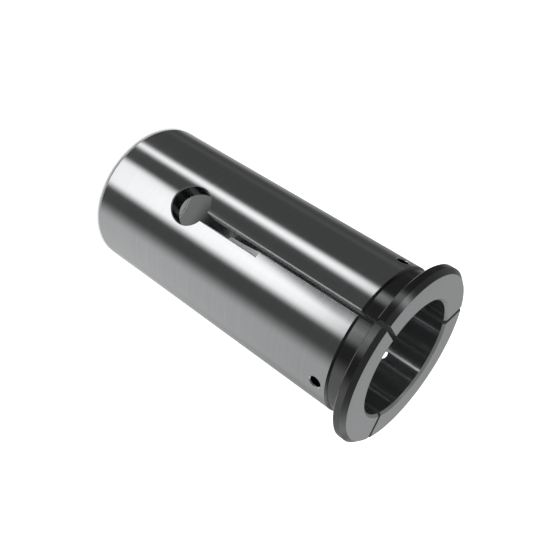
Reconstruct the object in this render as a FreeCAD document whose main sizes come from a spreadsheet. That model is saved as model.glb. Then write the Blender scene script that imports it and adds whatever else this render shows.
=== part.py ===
import FreeCAD, Part
import enum
import os
import Sketcher

# Straight collet for a milling chuck, in millimetres
#
# One turned, ground and slotted steel sleeve. It stands on its rear end: the origin is the
# centre of the rear face, +Z runs along the bore to the flange, and the first slit faces +X.

SIZES = (
    # The turned sleeve
    ("body_diameter", 32.0, "ground outside that the chuck squeezes"),
    ("wall_thickness", 3.5, "body wall, which leaves a 25 mm bore for the tool shank"),
    ("body_length", 64.5, "rear face to the front edge of the ground body"),
    ("neck_length", 4.0, "front edge of the body to the back of the flange"),
    ("neck_depth", 0.45, "relief of the neck below the ground body"),
    ("flange_overhang", 3.0, "how far the stop flange stands out from the body"),
    ("flange_thickness", 2.5, "back of the flange to the front face"),
    ("rear_chamfer", 0.8, "lead-in on the rear outer edge"),
    ("body_front_chamfer", 0.35, "broken edge where the body meets the neck"),
    ("flange_back_chamfer", 0.25, "broken edge at the back of the flange rim"),
    ("flange_front_chamfer", 0.9, "bevel round the front of the flange rim"),
    ("bore_chamfer", 0.5, "lead-in at both ends of the bore"),
    # The slits that let the sleeve close on the shank
    ("slit_count", 3, "slits evenly round the sleeve"),
    ("slit_width", 1.0, "saw width"),
    ("end_hole_diameter", 8.5, "round hole through the wall where a slit ends"),
    ("end_hole_height", 21.8, "rear face to the middle of the slit-end hole"),
    # The wider run-out that a disc cutter leaves along the rear part of each slit
    ("run_out_width", 2.1, "across the run-out, level with one wall of the slit"),
    ("run_out_cutter_diameter", 40.0, "disc that cuts the run-out"),
    ("run_out_offset", 7.8, "middle of the slit-end hole to the middle of the disc"),
    ("run_out_overcut", 0.13, "how far the disc passes the bore wall"),
    # The small holes between the slits
    ("port_diameter", 2.4, "hole through the wall near the neck"),
    ("port_setback", 2.6, "front edge of the body back to the middle of the port"),
    # The sharp edges that the cuts leave on the ground outside
    ("edge_break", 0.2, "broken edge along the slits, holes and run-outs"),
)

# Two radii or directions that differ by less are the same
SAME = 1e-6


class SketchPart(enum.IntEnum):
    """How a sketch numbers its own origin and upright axis, and the points of an edge."""

    ORIGIN = -1
    UPRIGHT_AXIS = -2
    START = 1
    END = 2
    CENTRE = 3


class Length:
    """A length worked out from the sheet: its value, and the expression that keeps it tied."""

    def __init__(self, value, expression):
        self.value = value
        self.expression = expression

    def __add__(self, other):
        return Length(self.value + other.value, f"({self.expression} + {other.expression})")

    def __sub__(self, other):
        return Length(self.value - other.value, f"({self.expression} - {other.expression})")

    def half(self):
        return Length(self.value / 2, f"({self.expression} / 2)")


def make_sheet(doc):
    """Write the driving dimensions, one a row, each with its name and what it measures."""
    sheet = doc.addObject("Spreadsheet::Sheet", "Sizes")
    for row, (alias, value, meaning) in enumerate(SIZES, start=1):
        sheet.set(f"A{row}", alias)
        sheet.set(f"B{row}", str(value))
        sheet.setAlias(f"B{row}", alias)
        sheet.set(f"C{row}", meaning)
    doc.recompute()
    return sheet


def read_sizes(sheet):
    """Each named size as a length that remembers its cell, and the places that follow."""
    size = {alias: Length(float(sheet.get(alias)), f"Sizes.{alias}") for alias, _, _ in SIZES}
    size["body_radius"] = size["body_diameter"].half()
    size["bore_radius"] = size["body_radius"] - size["wall_thickness"]
    size["neck_radius"] = size["body_radius"] - size["neck_depth"]
    size["flange_radius"] = size["body_radius"] + size["flange_overhang"]
    size["flange_back"] = size["body_length"] + size["neck_length"]
    size["front_face"] = size["flange_back"] + size["flange_thickness"]
    return size


def origin_feature(body, role):
    """The body's own origin plane or axis, such as XZ_Plane or Z_Axis."""
    for feature in body.Origin.OriginFeatures:
        if feature.Role == role:
            return feature
    raise ValueError(f"the body has no {role}")


def new_sketch(body, name, plane):
    sketch = body.newObject("Sketcher::SketchObject", name)
    sketch.AttachmentSupport = [(origin_feature(body, plane), "")]
    sketch.MapMode = "FlatFace"
    return sketch


def tie(sketch, constraint, length):
    """Add a dimension to a sketch and keep it bound to the sheet."""
    index = sketch.addConstraint(Sketcher.Constraint(*constraint, length.value))
    sketch.setExpression(f"Constraints[{index}]", length.expression)


def tie_point(sketch, edge, point, across, up):
    """Fix a point by its distances from the sketch's origin; None keeps it on that axis."""
    from_origin = (SketchPart.ORIGIN, SketchPart.START, edge, point)
    if across is None:
        on_axis = ("PointOnObject", edge, point, SketchPart.UPRIGHT_AXIS)
        sketch.addConstraint(Sketcher.Constraint(*on_axis))
    else:
        tie(sketch, ("DistanceX", *from_origin), across)
    if up is None:
        on_base = ("PointOnObject", edge, point, SketchPart.ORIGIN)
        sketch.addConstraint(Sketcher.Constraint(*on_base))
    else:
        tie(sketch, ("DistanceY", *from_origin), up)


def as_vector(across, up):
    return FreeCAD.Vector(across.value if across else 0, up.value if up else 0, 0)


def draw_polygon(sketch, corners):
    """A closed outline of straight lines whose corners are tied to the sheet."""
    points = [as_vector(across, up) for across, up in corners]
    ends = points[1:] + points[:1]
    for start, end in zip(points, ends):
        sketch.addGeometry(Part.LineSegment(start, end), False)
    before = len(corners) - 1
    for edge, (across, up) in enumerate(corners):
        meet = ("Coincident", before, SketchPart.END, edge, SketchPart.START)
        sketch.addConstraint(Sketcher.Constraint(*meet))
        tie_point(sketch, edge, SketchPart.START, across, up)
        before = edge


def draw_circle(sketch, across, up, diameter):
    """A circle whose centre and diameter are tied to the sheet."""
    upwards = FreeCAD.Vector(0, 0, 1)
    circle = Part.Circle(as_vector(across, up), upwards, diameter.half().value)
    edge = sketch.addGeometry(circle, False)
    tie(sketch, ("Diameter", edge), diameter)
    tie_point(sketch, edge, SketchPart.CENTRE, across, up)


def turn_sleeve(body, size):
    """The turned section of the wall: ground body, relieved neck, stop flange and bore."""
    bore = size["bore_radius"]
    outside = size["body_radius"]
    neck = size["neck_radius"]
    rim = size["flange_radius"]
    body_front = size["body_length"]
    flange_back = size["flange_back"]
    front_face = size["front_face"]
    lead_in = size["bore_chamfer"]
    body_edge = size["body_front_chamfer"]
    rim_edge = size["flange_back_chamfer"]
    rim_bevel = size["flange_front_chamfer"]

    sketch = new_sketch(body, "SleeveSection", "XZ_Plane")
    draw_polygon(sketch, (
        (bore + lead_in, None),
        (outside - size["rear_chamfer"], None),
        (outside, size["rear_chamfer"]),
        (outside, body_front - body_edge),
        (outside - body_edge, body_front),
        (neck, body_front),
        (neck, flange_back),
        (rim - rim_edge, flange_back),
        (rim, flange_back + rim_edge),
        (rim, front_face - rim_bevel),
        (rim - rim_bevel, front_face),
        (bore + lead_in, front_face),
        (bore, front_face - lead_in),
        (bore, lead_in),
    ))
    sleeve = body.newObject("PartDesign::Revolution", "TurnedSleeve")
    sleeve.Profile = sketch
    sleeve.ReferenceAxis = (origin_feature(body, "Z_Axis"), [""])
    sleeve.Angle = 360
    return sleeve


def saw_slit(body, size):
    """One slit from the front face, through the flange and neck, back to its round hole."""
    # A second flange beyond the rim and the front face is well clear of the metal
    beyond_rim = size["flange_radius"] + size["flange_overhang"]
    beyond_front = size["front_face"] + size["flange_thickness"]
    hole = size["end_hole_height"]

    sketch = new_sketch(body, "SlitSide", "XZ_Plane")
    draw_polygon(sketch, (
        (None, hole),
        (beyond_rim, hole),
        (beyond_rim, beyond_front),
        (None, beyond_front),
    ))
    slit = body.newObject("PartDesign::Pocket", "Slit")
    slit.Profile = sketch
    slit.SideType = "Symmetric"
    slit.setExpression("Length", size["slit_width"].expression)
    return slit


def drill_slit_end(body, size):
    """The round hole through the wall at the rear end of the slit."""
    sketch = new_sketch(body, "SlitEndCircle", "YZ_Plane")
    draw_circle(sketch, None, size["end_hole_height"], size["end_hole_diameter"])
    return drill_wall(body, "SlitEndHole", sketch, towards_first_slit=True)


def plunge_run_out(body, size):
    """The disc cut beside the slit: level with its -Y wall, and just through the bore wall."""
    cutter = size["run_out_cutter_diameter"]
    disc_centre = size["bore_radius"] - size["run_out_overcut"] + cutter.half()
    disc_height = size["end_hole_height"] + size["run_out_offset"]
    slit_side = size["slit_width"].half()

    sketch = new_sketch(body, "RunOutDisc", "XZ_Plane")
    draw_circle(sketch, disc_centre, disc_height, cutter)
    run_out = body.newObject("PartDesign::Pocket", "SlitRunOut")
    run_out.Profile = sketch
    run_out.SideType = "Two sides"
    run_out.setExpression("Length", (size["run_out_width"] - slit_side).expression)
    run_out.setExpression("Length2", slit_side.expression)
    return run_out


def drill_port(body, size):
    """The small hole through the wall, midway between two slits."""
    port_height = size["body_length"] - size["port_setback"]
    sketch = new_sketch(body, "PortCircle", "YZ_Plane")
    draw_circle(sketch, None, port_height, size["port_diameter"])
    return drill_wall(body, "Port", sketch, towards_first_slit=False)


def drill_wall(body, name, sketch, towards_first_slit):
    """Cut a circle outwards from the axis, through one side of the sleeve."""
    hole = body.newObject("PartDesign::Pocket", name)
    hole.Profile = sketch
    hole.Type = "ThroughAll"
    hole.Reversed = towards_first_slit
    return hole


def repeat_round_bore(body, cuts, size):
    """The same cuts at every slit, evenly round the bore."""
    pattern = body.newObject("PartDesign::PolarPattern", "SlitsRoundBore")
    pattern.Originals = cuts
    pattern.Axis = (origin_feature(body, "Z_Axis"), [""])
    pattern.Angle = 360
    pattern.setExpression("Occurrences", size["slit_count"].expression)
    body.Tip = pattern
    return pattern


def origin_of_face(face, size):
    """What left this face on the sleeve: the outside grinding, an end chamfer or a cut."""
    surface = face.Surface
    if isinstance(surface, Part.Cone):
        return "end chamfer"
    if isinstance(surface, Part.Cylinder):
        off_axis = surface.Axis.cross(FreeCAD.Vector(0, 0, 1)).Length
        off_radius = abs(surface.Radius - size["body_radius"].value)
        if off_axis < SAME and off_radius < SAME:
            return "grinding"
    return "cut"


def break_cut_edges(body, size):
    """Take the sharp edge off wherever a slit, hole or run-out meets the ground outside."""
    cuts = body.Tip
    sharp = []
    for number, edge in enumerate(cuts.Shape.Edges, start=1):
        faces = cuts.Shape.ancestorsOfType(edge, Part.Face)
        if {origin_of_face(face, size) for face in faces} == {"grinding", "cut"}:
            sharp.append(f"Edge{number}")
    broken = body.newObject("PartDesign::Chamfer", "BrokenEdges")
    broken.Base = (cuts, sharp)
    broken.setExpression("Size", size["edge_break"].expression)
    return broken


def make_collet(doc, size):
    body = doc.addObject("PartDesign::Body", "collet")
    body.Label = "collet"
    turn_sleeve(body, size)
    doc.recompute()
    cuts = []
    for make_cut in (saw_slit, drill_slit_end, plunge_run_out, drill_port):
        volume_before = body.Shape.Volume
        cuts.append(make_cut(body, size))
        doc.recompute()
        if body.Shape.Volume >= volume_before:
            raise ValueError(f"{cuts[-1].Name} removes no metal")
    repeat_round_bore(body, cuts, size)
    doc.recompute()
    break_cut_edges(body, size)
    body.Placement = FreeCAD.Placement()
    doc.recompute()
    return body


def check_document(doc):
    """Stop if any feature failed or was left invalid."""
    for item in doc.Objects:
        if "Invalid" in item.State or "Error" in item.State:
            raise ValueError(f"{item.Name} failed: {item.State}")


def export_body(body):
    shape = body.Shape
    if shape.isNull() or not shape.isValid():
        raise ValueError(f"{body.Label} has no valid shape")
    shape.exportStep(f"parts/{body.Label}.step")
    box = shape.BoundBox
    print(f"{body.Label}: {len(shape.Solids)} solid, {shape.Volume:.1f} mm3, "
          f"{box.XLength:.2f} x {box.YLength:.2f} x {box.ZLength:.2f} mm")


def main():
    os.makedirs("parts", exist_ok=True)
    doc = FreeCAD.newDocument("StraightCollet")
    size = read_sizes(make_sheet(doc))
    collet = make_collet(doc, size)
    check_document(doc)
    export_body(collet)


main()
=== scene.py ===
import math
from collections import namedtuple

import bpy
from mathutils import Matrix, Vector


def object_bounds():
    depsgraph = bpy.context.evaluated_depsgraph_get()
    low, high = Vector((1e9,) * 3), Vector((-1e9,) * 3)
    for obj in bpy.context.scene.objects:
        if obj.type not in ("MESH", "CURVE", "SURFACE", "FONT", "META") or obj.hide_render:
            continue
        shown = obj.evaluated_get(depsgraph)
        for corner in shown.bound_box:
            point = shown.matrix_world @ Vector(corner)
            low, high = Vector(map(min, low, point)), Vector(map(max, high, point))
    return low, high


# The looks of a straight collet: a ground, turned and slotted steel sleeve on a pale floor
#
# Metres. The sleeve stands on its rear end at the origin, +Z runs along the bore to the flange,
# and the first slit faces +X.

MM = 0.001

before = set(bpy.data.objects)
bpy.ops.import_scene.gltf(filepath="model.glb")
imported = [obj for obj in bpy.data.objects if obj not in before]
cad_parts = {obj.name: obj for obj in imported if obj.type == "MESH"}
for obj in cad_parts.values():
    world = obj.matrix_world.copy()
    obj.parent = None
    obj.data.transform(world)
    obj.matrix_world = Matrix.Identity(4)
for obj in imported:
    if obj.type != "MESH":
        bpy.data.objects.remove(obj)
CAD_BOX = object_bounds()
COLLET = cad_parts["collet"]
FRONT_FACE = CAD_BOX[1].z

# Sizes of the sleeve, which say where one finish ends and the next begins
GROUND_RADIUS = 16.0 * MM
NECK_RADIUS = 15.55 * MM
BORE_RADIUS = 12.5 * MM
RIM_RADIUS = 19.0 * MM
RIM_BEVEL = 0.9 * MM
FLANGE_BACK = FRONT_FACE - 2.5 * MM
BODY_FRONT = FLANGE_BACK - 4.0 * MM
FRONT_CHAMFER = 0.35 * MM
SLITS = 3
END_HOLE_RADIUS = 4.25 * MM
END_HOLE_HEIGHT = 21.8 * MM
RUN_OUT_HEIGHT = END_HOLE_HEIGHT + 7.8 * MM
PORT_RADIUS = 1.2 * MM
PORT_HEIGHT = BODY_FRONT - 2.6 * MM

# The photograph's view: from the side of the first slit, above, with the camera rolled so that
# the standing sleeve lies across the picture
CAMERA_AZIMUTH = math.radians(8.0)
CAMERA_REACH = 141.88 * MM
CAMERA_HEIGHT = 114.41 * MM
CAMERA_AIM = Vector((-0.09, 0.64, 39.37)) * MM
CAMERA_ROLL = math.radians(123.24)
CAMERA_LENS = 50.36
CLIP_START = 0.01

# What the steel mirrors: bright fields on a dark studio. A field lies between two azimuths, in
# degrees from the camera's own, and each edge fades over its softness to both sides. It goes from
# its low level, at LOW_END degrees of elevation, to its high level, at HIGH_END, where each edge
# has swung by so many degrees. It fades away above its top and below its foot. The low foot is
# just under the lowest part of the ground body's view. In the photograph's view, the last field
# is mirrored only in the bore, through the first slit.
Field = namedtuple("Field", "start end soft_start soft_end low high swing_start swing_end top foot")
STUDIO_DARK = 0.072
LOW_END = -38.0
HIGH_END = -23.0
NO_TOP = 90.0
LOW_FOOT = -44.0
STUDIO_FIELDS = (
    Field(-121.0, -112.0, 5.0, 5.0, 0.03, 0.03, 0.0, 0.0, NO_TOP, LOW_FOOT),
    Field(-61.5, -51.5, 5.0, 5.5, 1.42, 1.42, 0.5, 4.5, -19.9, LOW_FOOT),
    Field(-22.5, 24.5, 6.0, 7.5, 1.38, 1.38, 26.0, -2.5, -21.3, LOW_FOOT),
    Field(-22.5, 10.0, 5.0, 6.0, 0.00, 0.19, 7.0, 0.0, -21.3, LOW_FOOT),
    Field(64.0, 138.0, 15.0, 18.0, 0.48, 0.37, -3.0, 0.0, NO_TOP, LOW_FOOT),
    Field(138.0, 215.0, 18.0, 14.0, 0.40, 0.19, 0.0, 0.0, NO_TOP, LOW_FOOT),
    Field(150.0, 185.0, 12.0, 14.0, 0.13, 0.12, 0.0, 0.0, NO_TOP, LOW_FOOT),
    Field(-9.0, 7.0, 3.0, 3.0, 1.6, 1.6, 0.0, 0.0, -12.0, -14.8),
)
TOP_FADE = 1.0
FOOT_FADE = 6.0

# Seen steeply from above, the mirrored floor is pale
PALE_BELOW = -49.0
PALE_FULLY = -57.0
PALE_LEVEL = 0.5

# Overhead: a faint even sky and round soft lights, each a direction, how tightly its light is
# gathered round that direction, and its level
CEILING_LEVEL = 0.10
CEILING_FROM = 4.0
CEILING_TO = 16.0
SoftLight = namedtuple("SoftLight", "azimuth elevation gathered level")
SOFT_LIGHTS = (
    SoftLight(176.0, 14.0, 2.5, 0.31),
    SoftLight(128.0, 18.0, 12.0, 0.50),
    SoftLight(-78.0, 55.0, 240.0, 2.4),
    SoftLight(180.0, 68.0, 8.0, 0.35),
)

# The floor: white for the camera where the sky is open enough within the shade's reach, with a
# painted shadow where it is less open, and a disc of it inside the bore, painted dark, with painted
# light on one side
FLOOR_REACH = 8.0
FLOOR_CORNERS = 4
FLOOR_GAP = 0.02 * MM
FLOOR_GLOW = 0.82
FLOOR_COLOUR = (0.80, 0.80, 0.80, 1.0)
SHADE_REACH = 40.0 * MM
OPEN_ENOUGH = 0.75
# Painted shade and light: the floor inside the bore is painted dark and glows more on its -X side
BORE_FLOOR_CORNERS = 64
BORE_FLOOR_PAINTED_LIGHT = 0.24
BORE_FLOOR_PAINTED_SHADE = (0.10, 0.10, 0.10, 1.0)
BORE_PAINTED_LIGHT_FROM = -1.0 * MM
BORE_PAINTED_LIGHT_TO = -8.0 * MM

LAMP_HEIGHT = 0.7
LAMP_SIZE = 0.6
LAMP_WATTS = 3.0

# How each finish looks: how much it reflects, how rough it is, how deep its tool marks are and
# how much of it is bright metal, as against matt
Finish = namedtuple("Finish", "reflects rough depth metal")
# One sawn surface in two copies: darker in the flange, painted shade, and far brighter on the body,
# painted light
FLANGE_SAWN_PAINTED_SHADE = Finish(0.40, 0.38, 1.6, 0.7)
SAWN_BODY_PAINTED_LIGHT = Finish(0.95, 0.42, 1.6, 0.6)
RUN_OUT = Finish(0.88, 0.55, 1.6, 0.8)
BROKEN = Finish(0.85, 0.28, 1.0, 1.0)
# Painted shade: the walls of the holes and the rear of the run-out floor are drawn nearly black
RECESS_PAINTED_SHADE = Finish(0.08, 0.20, 0.3, 1.0)
GROUND = Finish(0.66, 0.15, 0.5, 1.0)
# The turned neck, the rim, the shoulders and the body's front chamfer are drawn at about a quarter
# of the ground body's brightness
TURNED = Finish(0.185, 0.17, 1.0, 1.0)
TURNED_DARK = Finish(0.16, 0.20, 1.0, 1.0)
FACED = Finish(0.58, 0.26, 1.4, 1.0)
HONED = Finish(0.60, 0.13, 0.3, 0.93)

# How a zone of finish is told apart: by how squarely it faces a direction, from where that starts
# to count to where it counts fully, or by how near it is to 45 degrees, and by how near a place is
# to the zone's own surface
FACES_FROM = 0.90
FACES_FULLY = 0.96
LEANS_FROM = 0.70
LEANS_FULLY = 0.76
SLANT = math.sqrt(0.5)
CHAMFER_SPREAD = 0.08
BROKEN_SPREAD = 0.06
BROKEN_FROM = GROUND_RADIUS - 0.26 * MM
BROKEN_FULLY = GROUND_RADIUS - 0.20 * MM
SHOULDERS_FROM = FRONT_FACE - 0.4 * MM
SHOULDERS_FULLY = FRONT_FACE - 0.5 * MM
OUTER_WALL_REACH = 0.06 * MM
BORE_WALL_REACH = 0.08 * MM
END_FACE_REACH = 0.1 * MM
HOLE_WALL_FROM = 0.09 * MM
HOLE_WALL_FULLY = 0.05 * MM
SOFT_BLEND = 1.0 * MM
SHARP_BLEND = 0.02 * MM

# Noise per metre: tool marks that change slowly over the sleeve and fast across the marks, each
# with its share in the relief, and a thin uneven film
Marks = namedtuple("Marks", "over across detail share")
FINE_MARKS = Marks(60.0, 5200.0, 3.0, 0.6)
COARSE_MARKS = Marks(25.0, 1300.0, 2.0, 0.4)
MARK_DEPTH = 0.0012 * MM
FILM_SCALE = 90.0
FILM_DETAIL = 3.0
NOISE_ROUGHNESS = 0.55

# How far the film and the coarse marks vary the steel, from least to most
TONE_BY_FILM = (0.97, 1.03)
TONE_BY_MARKS = (0.95, 1.05)
ROUGH_BY_FILM = (0.85, 1.15)
ROUGH_BY_MARKS = (0.92, 1.08)

# The steel's faint blue, and how its gloss is drawn out along the marks
RED_SHARE = 0.985
BLUE_SHARE = 1.01
DRAWN_OUT = 0.6
DRAWN_TURN = 0.25


class Nodes:
    """A node tree written as plain calls: each gives back a socket to feed the next."""

    def __init__(self, tree):
        self.tree = tree
        tree.nodes.clear()

    def add(self, kind, **settings):
        node = self.tree.nodes.new(kind)
        for name, value in settings.items():
            setattr(node, name, value)
        return node

    def feed(self, socket, value):
        if isinstance(value, bpy.types.NodeSocket):
            self.tree.links.new(value, socket)
        else:
            socket.default_value = value

    def call(self, kind, inputs, output=0, **settings):
        """Add a node, feed its inputs, by name or place, and give back one output."""
        node = self.add(kind, **settings)
        for name, value in inputs.items():
            self.feed(node.inputs[name], value)
        return node.outputs[output]

    def math(self, operation, *values):
        return self.call("ShaderNodeMath", dict(enumerate(values)), operation=operation)

    def total(self, values):
        result = values[0]
        for value in values[1:]:
            result = self.math("ADD", result, value)
        return result

    def product(self, *values):
        result = values[0]
        for value in values[1:]:
            result = self.math("MULTIPLY", result, value)
        return result

    def most(self, *values):
        result = values[0]
        for value in values[1:]:
            result = self.math("MAXIMUM", result, value)
        return result

    def length(self, one, other):
        """The length of a flat vector with these two parts."""
        squares = self.math("ADD", self.product(one, one), self.product(other, other))
        return self.math("SQRT", squares)

    def rise(self, value, low, high):
        """0 below low, 1 above high and smooth in between; low may be the greater."""
        inputs = {"Value": value, "From Min": low, "From Max": high}
        return self.call("ShaderNodeMapRange", inputs, interpolation_type="SMOOTHSTEP")

    def near(self, value, place, reach):
        """1 where the value is within reach of a place, fading to 0 by twice that."""
        away = self.math("ABSOLUTE", self.math("SUBTRACT", value, place))
        return self.rise(away, 2 * reach, reach)

    def blend(self, share, one, other):
        """One number turning into another as the share goes from 0 to 1."""
        change = self.math("SUBTRACT", other, one)
        return self.math("MULTIPLY_ADD", change, share, one)

    def blend_vectors(self, share, one, other):
        """One vector turning into another as the share goes from 0 to 1."""
        # The Mix node's vector sockets come after those for numbers and have the same names
        inputs = {0: share, 4: one, 5: other}
        return self.call("ShaderNodeMix", inputs, 1, data_type="VECTOR")

    def split(self, vector):
        node = self.add("ShaderNodeSeparateXYZ")
        self.feed(node.inputs[0], vector)
        return node.outputs

    def join(self, across, along, up):
        return self.call("ShaderNodeCombineXYZ", {"X": across, "Y": along, "Z": up})

    def noise(self, vector, scale, detail):
        inputs = {"Vector": vector, "Scale": scale, "Detail": detail, "Roughness": NOISE_ROUGHNESS}
        return self.call("ShaderNodeTexNoise", inputs, "Fac")

    def colour(self, red, green, blue):
        return self.call("ShaderNodeCombineColor", {"Red": red, "Green": green, "Blue": blue})


def aim_camera():
    camera = bpy.data.objects.new("camera", bpy.data.cameras.new("camera"))
    bpy.context.scene.collection.objects.link(camera)
    camera.location = (
        CAMERA_REACH * math.cos(CAMERA_AZIMUTH),
        CAMERA_REACH * math.sin(CAMERA_AZIMUTH),
        CAMERA_HEIGHT,
    )
    forward = CAMERA_AIM - camera.location
    level = forward.to_track_quat("-Z", "Y")
    camera.rotation_mode = "QUATERNION"
    camera.rotation_quaternion = level @ Matrix.Rotation(CAMERA_ROLL, 3, "Z").to_quaternion()
    camera.data.lens = CAMERA_LENS
    camera.data.clip_start = CLIP_START
    camera.data.clip_end = 4 * FLOOR_REACH
    bpy.context.scene.camera = camera


def field_light(nodes, azimuth, elevation, field):
    """How much of one bright field lies in a direction, also where it runs past half a turn."""
    height = nodes.call("ShaderNodeMapRange", {
        "Value": elevation, "From Min": LOW_END, "From Max": HIGH_END})
    level = nodes.blend(height, field.low, field.high)
    below_top = nodes.rise(elevation, field.top + TOP_FADE, field.top - TOP_FADE)
    off_foot = nodes.rise(elevation, field.foot - FOOT_FADE, field.foot)
    lights = []
    turns = (0.0, 360.0) if field.end + field.soft_end > 180.0 else (0.0,)
    for turn in turns:
        bearing = nodes.math("ADD", azimuth, turn)
        past_start = nodes.math("SUBTRACT", bearing, nodes.product(height, field.swing_start))
        past_end = nodes.math("SUBTRACT", bearing, nodes.product(height, field.swing_end))
        enters = nodes.rise(
            past_start, field.start - field.soft_start, field.start + field.soft_start)
        leaves = nodes.rise(past_end, field.end + field.soft_end, field.end - field.soft_end)
        lights.append(nodes.product(enters, leaves, level, below_top, off_foot))
    return nodes.total(lights)


def soft_light(nodes, ahead, aside, up, light):
    """How much of one round overhead light lies in a direction."""
    azimuth = math.radians(light.azimuth)
    elevation = math.radians(light.elevation)
    closeness = nodes.total([
        nodes.product(ahead, math.cos(azimuth) * math.cos(elevation)),
        nodes.product(aside, math.sin(azimuth) * math.cos(elevation)),
        nodes.product(up, math.sin(elevation)),
    ])
    gathered = nodes.math("POWER", nodes.math("MAXIMUM", closeness, 0.0), light.gathered)
    return nodes.product(gathered, light.level)


def light_studio():
    """White for the camera; dark with bright fields and a soft ceiling for what is mirrored."""
    world = bpy.data.worlds.new("studio")
    world.use_nodes = True
    bpy.context.scene.world = world
    nodes = Nodes(world.node_tree)
    x, y, up = nodes.split(nodes.add("ShaderNodeTexCoord").outputs["Generated"])
    cosine = math.cos(CAMERA_AZIMUTH)
    sine = math.sin(CAMERA_AZIMUTH)
    ahead = nodes.math("ADD", nodes.product(x, cosine), nodes.product(y, sine))
    aside = nodes.math("SUBTRACT", nodes.product(y, cosine), nodes.product(x, sine))
    azimuth = nodes.math("DEGREES", nodes.math("ARCTAN2", aside, ahead))
    elevation = nodes.math("DEGREES", nodes.math("ARCSINE", up))

    fields = [field_light(nodes, azimuth, elevation, field) for field in STUDIO_FIELDS]
    underneath = nodes.product(nodes.rise(elevation, PALE_BELOW, PALE_FULLY), PALE_LEVEL)
    walls = nodes.total([*fields, underneath, STUDIO_DARK])
    lights = [soft_light(nodes, ahead, aside, up, light) for light in SOFT_LIGHTS]
    ceiling = nodes.total([*lights, CEILING_LEVEL])
    above = nodes.rise(elevation, CEILING_FROM, CEILING_TO)
    mirrored = nodes.blend(above, walls, ceiling)
    seen = nodes.add("ShaderNodeLightPath").outputs["Is Camera Ray"]
    level = nodes.blend(seen, mirrored, 1.0)
    background = nodes.call("ShaderNodeBackground", {"Color": nodes.colour(level, level, level)})
    output = nodes.add("ShaderNodeOutputWorld")
    nodes.feed(output.inputs["Surface"], background)


def hang_lamp():
    """One large soft lamp overhead, which casts the sleeve's faint shadow on the floor, beside the
    shadow painted into the floor's glow.
    """
    light = bpy.data.lights.new("soft_lamp", "AREA")
    light.shape = "DISK"
    light.size = LAMP_SIZE
    light.energy = LAMP_WATTS
    lamp = bpy.data.objects.new("soft_lamp", light)
    bpy.context.scene.collection.objects.link(lamp)
    lamp.location = (0, 0, LAMP_HEIGHT)
    lamp.visible_glossy = False


def white_with_painted_shadow(nodes):
    """What makes the floor white for the camera, with a painted shadow: the glow fades under and
    close to the sleeve as ambient occlusion grows.
    """
    seen = nodes.add("ShaderNodeLightPath").outputs["Is Camera Ray"]
    open_sky = nodes.call("ShaderNodeAmbientOcclusion", {"Distance": SHADE_REACH}, "AO")
    # Painted shadow: the glow fades where the sky is less open
    lit = nodes.rise(open_sky, 0.0, OPEN_ENOUGH)
    return nodes.product(seen, lit, FLOOR_GLOW)


def painted_light_in_bore(nodes):
    """Painted light on the floor inside the bore: a glow, more of it on the -X side, that stands in
    for the light coming down it.
    """
    x = nodes.split(nodes.add("ShaderNodeTexCoord").outputs["Object"])[0]
    return nodes.product(nodes.rise(x, BORE_PAINTED_LIGHT_FROM, BORE_PAINTED_LIGHT_TO), BORE_FLOOR_PAINTED_LIGHT)


def matt_paint(name, colour, glow_of):
    """Matt paint with the faint glow that the given function works out."""
    paint = bpy.data.materials.new(name)
    paint.use_nodes = True
    nodes = Nodes(paint.node_tree)
    glow = nodes.call("ShaderNodeEmission", {"Strength": glow_of(nodes)})
    matt = nodes.call("ShaderNodeBsdfDiffuse", {"Color": colour})
    both = nodes.call("ShaderNodeAddShader", {0: glow, 1: matt})
    nodes.feed(nodes.add("ShaderNodeOutputMaterial").inputs["Surface"], both)
    return paint


def flat_piece(name, radius, corners, height, paint):
    """A flat level stage piece with its corners on a circle."""
    turns = [2 * math.pi * step / corners for step in range(corners)]
    ring = [(radius * math.cos(turn), radius * math.sin(turn), height) for turn in turns]
    mesh = bpy.data.meshes.new(name)
    mesh.from_pydata(ring, [], [tuple(range(corners))])
    mesh.materials.append(paint)
    piece = bpy.data.objects.new(name, mesh)
    bpy.context.scene.collection.objects.link(piece)
    return piece


def lay_floor():
    """A pale floor with the sleeve's shadow, partly cast and partly painted, and a disc inside the
    bore with painted shade and light, mirrored only where the bore shuts it in.
    """
    pale = matt_paint("pale_floor", FLOOR_COLOUR, white_with_painted_shadow)
    floor = flat_piece("floor", FLOOR_REACH, FLOOR_CORNERS, -2 * FLOOR_GAP, pale)
    floor.visible_glossy = False
    floor.visible_shadow = False
    # Inside the bore: a dark disc of painted shade with a painted pool of light
    shaded = matt_paint("floor_painted_shade_and_light", BORE_FLOOR_PAINTED_SHADE, painted_light_in_bore)
    flat_piece("floor_in_bore", BORE_RADIUS, BORE_FLOOR_CORNERS, -FLOOR_GAP, shaded)


def cross_holes(nodes, azimuth, radius, z, offset, height, hole_radius):
    """1 on the wall of a hole that is drilled towards the axis once in every sector."""
    sector = 2 * math.pi / SLITS
    turned = nodes.math("SUBTRACT", azimuth, offset)
    nearest = nodes.product(nodes.math("ROUND", nodes.math("DIVIDE", turned, sector)), sector)
    beside = nodes.math("SUBTRACT", turned, nearest)
    across = nodes.product(radius, nodes.math("SINE", beside))
    along = nodes.math("SUBTRACT", z, height)
    from_centre = nodes.length(across, along)
    return nodes.rise(from_centre, hole_radius + HOLE_WALL_FROM, hole_radius + HOLE_WALL_FULLY)


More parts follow.
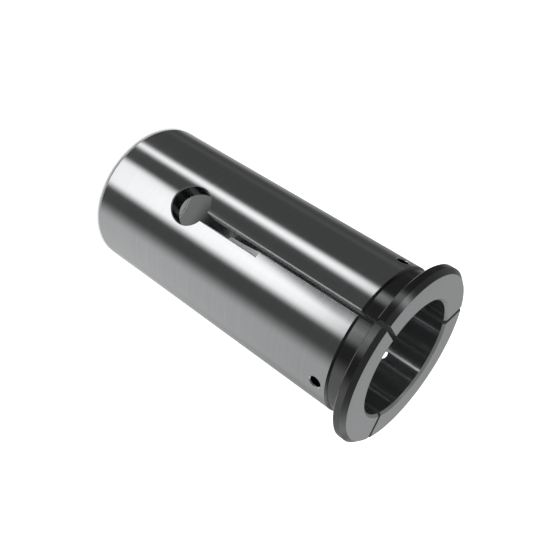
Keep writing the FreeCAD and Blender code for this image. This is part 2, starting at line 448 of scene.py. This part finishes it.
def zones_of(nodes, x, y, z, radius, outward, upward):
    """Where each kind of surface lies on the sleeve, each a number from 0 to 1."""
    azimuth = nodes.math("ARCTAN2", y, x)
    faces_out = nodes.rise(outward, FACES_FROM, FACES_FULLY)
    faces_in = nodes.rise(outward, -FACES_FROM, -FACES_FULLY)
    faces_up = nodes.rise(upward, FACES_FROM, FACES_FULLY)
    faces_down = nodes.rise(upward, -FACES_FROM, -FACES_FULLY)
    leans_out = nodes.rise(outward, LEANS_FROM, LEANS_FULLY)
    on_body = nodes.rise(z, BODY_FRONT, BODY_FRONT - SOFT_BLEND)
    ahead_of_body = nodes.rise(z, BODY_FRONT - SHARP_BLEND, BODY_FRONT)
    bevel_start = RIM_RADIUS - RIM_BEVEL
    return {
        "chamfer": nodes.product(
            nodes.near(z, BODY_FRONT - FRONT_CHAMFER / 2, FRONT_CHAMFER / 2),
            nodes.near(upward, SLANT, CHAMFER_SPREAD)),
        "body_slit": on_body,
        "run_out": nodes.product(leans_out, on_body),
        # The rear of the run-out floor takes the painted shade of the holes
        "run_out_rear": nodes.product(
            leans_out, nodes.rise(z, RUN_OUT_HEIGHT, RUN_OUT_HEIGHT - SOFT_BLEND)),
        "broken": nodes.product(
            nodes.near(outward, SLANT, BROKEN_SPREAD),
            nodes.rise(radius, BROKEN_FROM, BROKEN_FULLY),
            on_body),
        "drilled": nodes.most(
            cross_holes(nodes, azimuth, radius, z, 0.0, END_HOLE_HEIGHT, END_HOLE_RADIUS),
            cross_holes(nodes, azimuth, radius, z, math.pi / SLITS, PORT_HEIGHT, PORT_RADIUS)),
        "ground": nodes.product(faces_out, nodes.near(radius, GROUND_RADIUS, OUTER_WALL_REACH)),
        "neck": nodes.product(faces_out, nodes.near(radius, NECK_RADIUS, OUTER_WALL_REACH)),
        "rim": nodes.rise(radius, bevel_start - SHARP_BLEND, bevel_start + SHARP_BLEND),
        "shoulders": nodes.product(
            ahead_of_body,
            nodes.rise(z, SHOULDERS_FROM, SHOULDERS_FULLY),
            nodes.most(faces_up, faces_down)),
        "front": nodes.product(faces_up, nodes.near(z, FRONT_FACE, END_FACE_REACH)),
        "rear": nodes.product(faces_down, nodes.near(z, 0.0, END_FACE_REACH)),
        "bore": nodes.product(faces_in, nodes.near(radius, BORE_RADIUS, BORE_WALL_REACH)),
    }


def tool_marks(nodes, x, y, across, marks):
    """Noise drawn out into rings round the sleeve."""
    drawn = nodes.join(
        nodes.product(x, marks.over), nodes.product(y, marks.over),
        nodes.product(across, marks.across))
    return nodes.noise(drawn, 1.0, marks.detail)


def steel():
    """Ground, turned, faced, honed and cut steel, told apart by where they are on the sleeve."""
    paint = bpy.data.materials.new("ground_steel_finish")
    paint.use_nodes = True
    nodes = Nodes(paint.node_tree)
    place = nodes.add("ShaderNodeTexCoord").outputs["Object"]
    geometry = nodes.add("ShaderNodeNewGeometry")
    x, y, z = nodes.split(place)
    normal_x, normal_y, upward = nodes.split(geometry.outputs["True Normal"])
    radius = nodes.length(x, y)
    radially = nodes.math("ADD", nodes.product(x, normal_x), nodes.product(y, normal_y))
    outward = nodes.math("DIVIDE", radially, radius)
    zone = zones_of(nodes, x, y, z, radius, outward, upward)
    dark = nodes.most(zone["rim"], zone["shoulders"], zone["chamfer"])
    faced = nodes.most(zone["front"], zone["rear"])

    # Each finish lies over those before it, and the sawn walls of the flange, with painted shade,
    # are under them all
    layers = (
        (zone["body_slit"], SAWN_BODY_PAINTED_LIGHT), (zone["run_out"], RUN_OUT),
        (zone["run_out_rear"], RECESS_PAINTED_SHADE), (zone["drilled"], RECESS_PAINTED_SHADE), (zone["broken"], BROKEN),
        (zone["ground"], GROUND), (zone["bore"], HONED), (zone["neck"], TURNED),
        (dark, TURNED_DARK), (faced, FACED),
    )

    def by_finish(part):
        value = getattr(FLANGE_SAWN_PAINTED_SHADE, part)
        for share, finish in layers:
            value = nodes.blend(share, value, getattr(finish, part))
        return value

    # The marks follow each other along the sleeve, and outwards on its end faces
    across = nodes.blend(faced, z, radius)
    fine = tool_marks(nodes, x, y, across, FINE_MARKS)
    coarse = tool_marks(nodes, x, y, across, COARSE_MARKS)
    film = nodes.noise(place, FILM_SCALE, FILM_DETAIL)
    relief = nodes.math(
        "ADD", nodes.product(fine, FINE_MARKS.share), nodes.product(coarse, COARSE_MARKS.share))

    tone = nodes.product(
        by_finish("reflects"),
        nodes.blend(coarse, *TONE_BY_MARKS),
        nodes.blend(film, *TONE_BY_FILM))
    colour = nodes.colour(nodes.product(tone, RED_SHARE), tone, nodes.product(tone, BLUE_SHARE))
    rough = nodes.product(
        by_finish("rough"),
        nodes.blend(film, *ROUGH_BY_FILM),
        nodes.blend(coarse, *ROUGH_BY_MARKS))

    # The ground, turned and honed walls take the exact normal of their cylinders
    round_walls = nodes.total([zone["ground"], zone["neck"], zone["bore"]])
    side = nodes.math("SIGN", outward)
    exact = nodes.join(
        nodes.math("DIVIDE", nodes.product(x, side), radius),
        nodes.math("DIVIDE", nodes.product(y, side), radius), 0.0)
    smooth = nodes.blend_vectors(round_walls, geometry.outputs["Normal"], exact)
    normal = nodes.call("ShaderNodeBump", {
        "Strength": 1.0, "Distance": MARK_DEPTH,
        "Height": nodes.product(relief, by_finish("depth")), "Normal": smooth})

    tangent = nodes.add("ShaderNodeTangent", direction_type="RADIAL", axis="Z")
    shader = nodes.call("ShaderNodeBsdfPrincipled", {
        "Base Color": colour, "Metallic": by_finish("metal"), "Roughness": rough,
        "Normal": normal, "Tangent": tangent.outputs[0],
        "Anisotropic": DRAWN_OUT, "Anisotropic Rotation": DRAWN_TURN})
    nodes.feed(nodes.add("ShaderNodeOutputMaterial").inputs["Surface"], shader)
    return paint


bpy.context.scene.view_settings.view_transform = "Standard"
aim_camera()
light_studio()
hang_lamp()
lay_floor()
COLLET.material_slots[0].material = steel()
